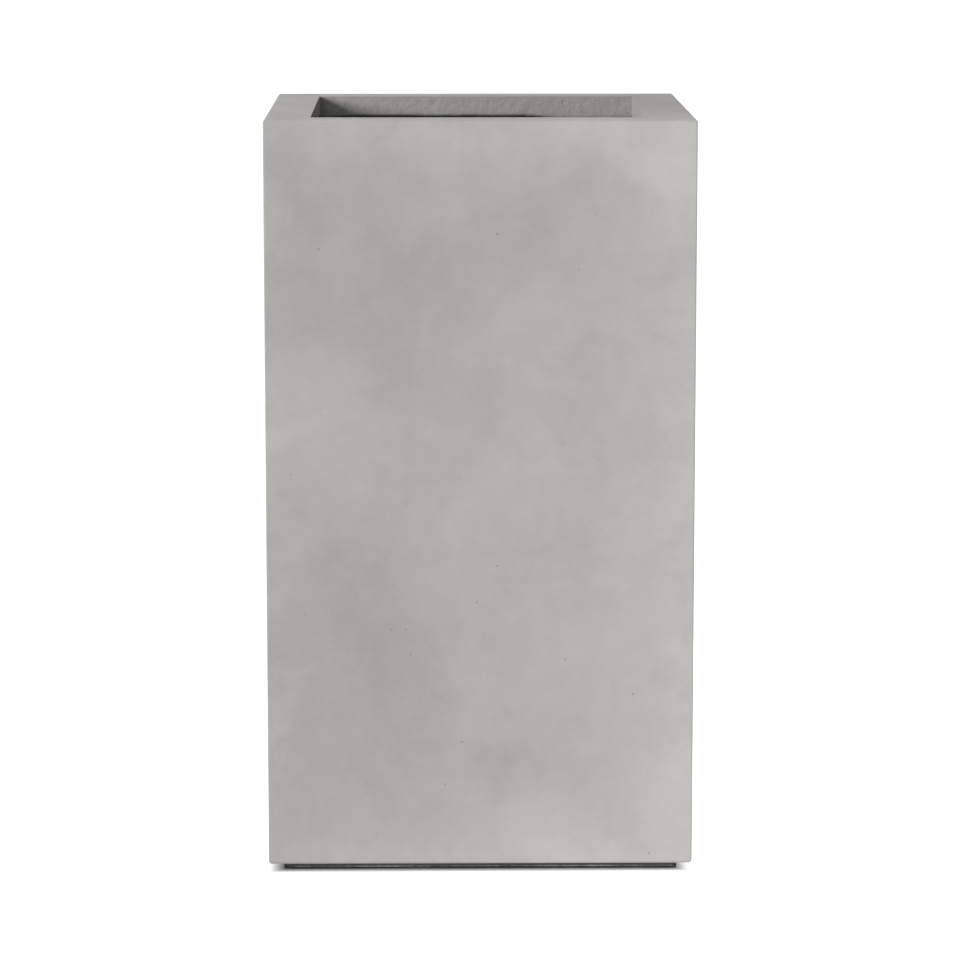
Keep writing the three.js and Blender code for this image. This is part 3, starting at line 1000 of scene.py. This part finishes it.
fitting_plastic = moulded_plastic(
    "fitting_plastic", plastic_black, plastic_dusty, grain_size=0.0006, roughness_middle=0.42)
ferrule_outline = stepped(eased([
    (drain_radius, ferrule_low.z, 0.0006),
    (ferrule_tube_radius, ferrule_low.z, 0.0006),
    (ferrule_tube_radius, ferrule_flange_bottom, 0.0005),
    (ferrule_flange_radius, ferrule_flange_bottom, 0.0006),
    (ferrule_flange_radius, ferrule_high.z, 0.0016),
    (drain_radius, ferrule_high.z, 0.0012),
], steps=4), longest=0.0004)
ferrule_rings = turned_rings(ferrule_outline, around=80, shape=ferrule_shape)
ferrule = piece_over("drain_ferrule_fitting", ferrule_rings, loop=True)
ferrule.data.materials.append(fitting_plastic)
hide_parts("drain_ferrule")
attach(ferrule, "planter")

rubber = moulded_rubber("black_rubber")
gasket_outline = stepped(eased([
    (drain_hole_radius, gasket_low.z, 0.0007),
    (gasket_high.x, gasket_low.z, 0.0009),
    (gasket_high.x, gasket_high.z, 0.0009),
    (drain_hole_radius, gasket_high.z, 0.0007),
], steps=4), longest=0.002)
gasket = piece_over("drain_gasket_washer", turned_rings(gasket_outline, around=80), loop=True)
gasket.data.materials.append(rubber)
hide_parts("drain_gasket")
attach(gasket, "planter")

nut_corner_radius = nut_high.x
nut_flat = nut_corner_radius * math.cos(math.pi / 6)
nut_chamfer = 0.0012


def nut_shape(radius, height, angle):
    """Cuts the round blank to a hexagon, whose corners keep the turned chamfer."""
    middle_of_flat = (angle % (math.pi / 3)) - math.pi / 6
    hexagon = nut_flat / math.cos(middle_of_flat)
    return min(radius, hexagon), height


nut_outline = stepped(eased([
    (drain_hole_radius, nut_low.z, 0.0006),
    (nut_corner_radius - nut_chamfer, nut_low.z, 0),
    (nut_corner_radius, nut_low.z + nut_chamfer * 0.6, 0),
    (nut_corner_radius, nut_high.z - nut_chamfer * 0.6, 0),
    (nut_corner_radius - nut_chamfer, nut_high.z, 0),
    (drain_hole_radius, nut_high.z, 0.0006),
], steps=3), longest=0.0008)
nut = piece_over("drain_lock_nut", turned_rings(nut_outline, around=96, shape=nut_shape), loop=True)
nut.data.set_sharp_from_angle(angle=math.radians(28))
nut.data.materials.append(fitting_plastic)
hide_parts("drain_nut")
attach(nut, "planter")


# ---------- drain plug ----------
# A stopper moulded in one piece of soft black rubber: a tapered plug with two grooves round it, a
# head that lies on the ferrule, and a knob on a neck to pull it by.

plug_low, plug_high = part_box("drain_plug")
plug_head_radius = plug_high.x
plug_seat = plug_low.z + 0.018
plug_head_top = plug_seat + 0.004
knob_bottom = plug_head_top + 0.009
neck_radius = 0.0055
knob_radius = 0.010
plug_tip_radius = 0.0112
plug_top_radius = 0.0122
plug_sides = eased([
    (0.0002, plug_low.z + 0.0012, 0),
    (plug_tip_radius - 0.003, plug_low.z + 0.0012, 0.0006),
    (plug_tip_radius - 0.002, plug_low.z, 0.0006),
    (plug_tip_radius, plug_low.z, 0.0009),
    (plug_tip_radius + 0.0002, plug_low.z + 0.005, 0.0006),
    (plug_tip_radius - 0.0003, plug_low.z + 0.0062, 0.0006),
    (plug_tip_radius + 0.0002, plug_low.z + 0.0074, 0.0006),
    (plug_tip_radius + 0.0005, plug_low.z + 0.011, 0.0006),
    (plug_tip_radius, plug_low.z + 0.0122, 0.0006),
    (plug_tip_radius + 0.0006, plug_low.z + 0.0134, 0.0006),
    (plug_top_radius, plug_seat, 0.0006),
    (plug_head_radius, plug_seat, 0.0009),
    (plug_head_radius, plug_head_top, 0.0016),
    (neck_radius, plug_head_top, 0.0022),
    (neck_radius, knob_bottom, 0.0022),
    (knob_radius, knob_bottom, 0.0026),
    (knob_radius, plug_high.z, 0.0028),
    (0.0045, plug_high.z, 0.0008),
    (0.0036, plug_high.z - 0.0008, 0.0008),
    (0.0002, plug_high.z - 0.0008, 0),
], closed=False)
plug_outline = stepped(plug_sides, longest=0.0015, closed=False)
plug = piece_over("drain_plug_stopper", turned_rings(plug_outline, around=72))
plug.data.materials.append(rubber)
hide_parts("drain_plug")
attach(plug, "plug")


# ---------- shelf brackets ----------
# Lengths of drawn aluminium angle, sawn off and glued to the four walls: one leg down the wall, the
# other level under the shelf. The drawing leaves fine lines along them.

bracket_leg = 0.024
bracket_thickness = 0.003
bracket_steps = 24
angle_section = eased([
    (0, 0, 0.0008),
    (bracket_leg, 0, 0.0006),
    (bracket_leg, -bracket_thickness, 0.0006),
    (bracket_thickness, -bracket_thickness, 0.0020),
    (bracket_thickness, -bracket_leg, 0.0006),
    (0, -bracket_leg, 0.0006),
], steps=4)
aluminium_dark = (0.50, 0.51, 0.52, 1)
aluminium_pale = (0.70, 0.71, 0.72, 1)
aluminium_along_width = bright_metal(
    "aluminium_along_width", aluminium_dark, aluminium_pale, roughness_middle=0.34, along=0)
aluminium_along_depth = bright_metal(
    "aluminium_along_depth", aluminium_dark, aluminium_pale, roughness_middle=0.34, along=1)
for side, outward in (
    ("front", Vector((0, -1, 0))),
    ("back", Vector((0, 1, 0))),
    ("left", Vector((-1, 0, 0))),
    ("right", Vector((1, 0, 0))),
):
    node = "shelf_bracket_" + side
    low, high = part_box(node)
    along = Vector((-outward.y, outward.x, 0))
    half_length = abs((high - low).dot(along)) / 2
    at_wall = Vector((
        outward.x * max(abs(low.x), abs(high.x)),
        outward.y * max(abs(low.y), abs(high.y)),
        high.z,
    ))
    rings = []
    for k in range(bracket_steps + 1):
        station = at_wall + along * half_length * (2 * k / bracket_steps - 1)
        rings.append([station - outward * p.x + Vector((0, 0, p.y)) for p in angle_section])
    bracket = piece_over("aluminium_angle_" + side, rings)
    bracket.data.set_sharp_from_angle(angle=math.radians(60))
    bracket.data.materials.append(aluminium_along_width if along.x else aluminium_along_depth)
    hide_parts(node)
    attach(bracket, "planter")


# ---------- removable shelf ----------
# A board of dark grey plastic, routed with nine drain holes and two finger slots, its edges rounded
# over. It lies loose on the brackets and carries the plant pot.

shelf_low, shelf_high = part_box("insert_shelf")
shelf_round_over = 0.0016
shelf_corner_radius = 0.003
shelf_hole_radius = 0.005
shelf_hole_pitch = 0.070
slot_middle = 0.136
slot_width = 0.028
slot_length = 0.090


def rectangle_outline(x, y, half_x, half_y, radius):
    corners = eased([
        (-half_x, -half_y, radius),
        (half_x, -half_y, radius),
        (half_x, half_y, radius),
        (-half_x, half_y, radius),
    ], steps=8)
    return [Vector((x, y)) + p for p in corners]


def circle_outline(x, y, radius, around=40):
    angles = [2 * math.pi * k / around for k in range(around)]
    return [Vector((x + radius * math.cos(a), y + radius * math.sin(a))) for a in angles]


def routed_board(name, outline, holes, low_level, high_level, round_over):
    """A flat board cut to an outline, with holes, and rounded over on every edge."""
    thickness = high_level - low_level
    pattern = bpy.data.curves.new(name, "CURVE")
    pattern.dimensions = "2D"
    pattern.fill_mode = "BOTH"
    pattern.extrude = thickness / 2 - round_over
    pattern.bevel_depth = round_over
    pattern.bevel_resolution = 3
    pattern.offset = -round_over
    for loop in [outline] + [list(reversed(hole)) for hole in holes]:
        spline = pattern.splines.new("POLY")
        spline.points.add(len(loop) - 1)
        spline.use_cyclic_u = True
        for point, (x, y) in zip(spline.points, loop):
            point.co = (x, y, 0, 1)
    cutting = bpy.data.objects.new(name + "_pattern", pattern)
    bpy.context.scene.collection.objects.link(cutting)
    graph = bpy.context.evaluated_depsgraph_get()
    mesh = bpy.data.meshes.new_from_object(cutting.evaluated_get(graph))
    bpy.data.objects.remove(cutting)
    form = bmesh.new()
    form.from_mesh(mesh)
    bmesh.ops.remove_doubles(form, verts=form.verts, dist=same_place)
    bmesh.ops.translate(form, verts=form.verts, vec=(0, 0, (low_level + high_level) / 2))
    points = [v.co.copy() for v in form.verts]
    form.verts.index_update()
    faces = [tuple(v.index for v in face.verts) for face in form.faces]
    form.free()
    return made_piece(name, points, faces)


shelf_holes = [
    circle_outline(column * shelf_hole_pitch, row * shelf_hole_pitch, shelf_hole_radius)
    for row in (-1, 0, 1)
    for column in (-1, 0, 1)
]
shelf_slots = [
    rectangle_outline(x, 0, slot_width / 2, slot_length / 2, slot_width / 2 - 0.0005)
    for x in (-slot_middle, slot_middle)
]
shelf_board = rectangle_outline(0, 0, shelf_high.x, shelf_high.y, shelf_corner_radius)
shelf = routed_board(
    "insert_shelf_board", shelf_board, shelf_holes + shelf_slots,
    shelf_low.z, shelf_high.z, shelf_round_over)
shelf_grey = (0.062, 0.064, 0.066, 1)
shelf_scuffed = (0.120, 0.122, 0.124, 1)
shelf.data.materials.append(moulded_plastic(
    "shelf_plastic", shelf_grey, shelf_scuffed, grain_size=0.0030, roughness_middle=0.50))
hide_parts("insert_shelf")
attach(shelf, "shelf")
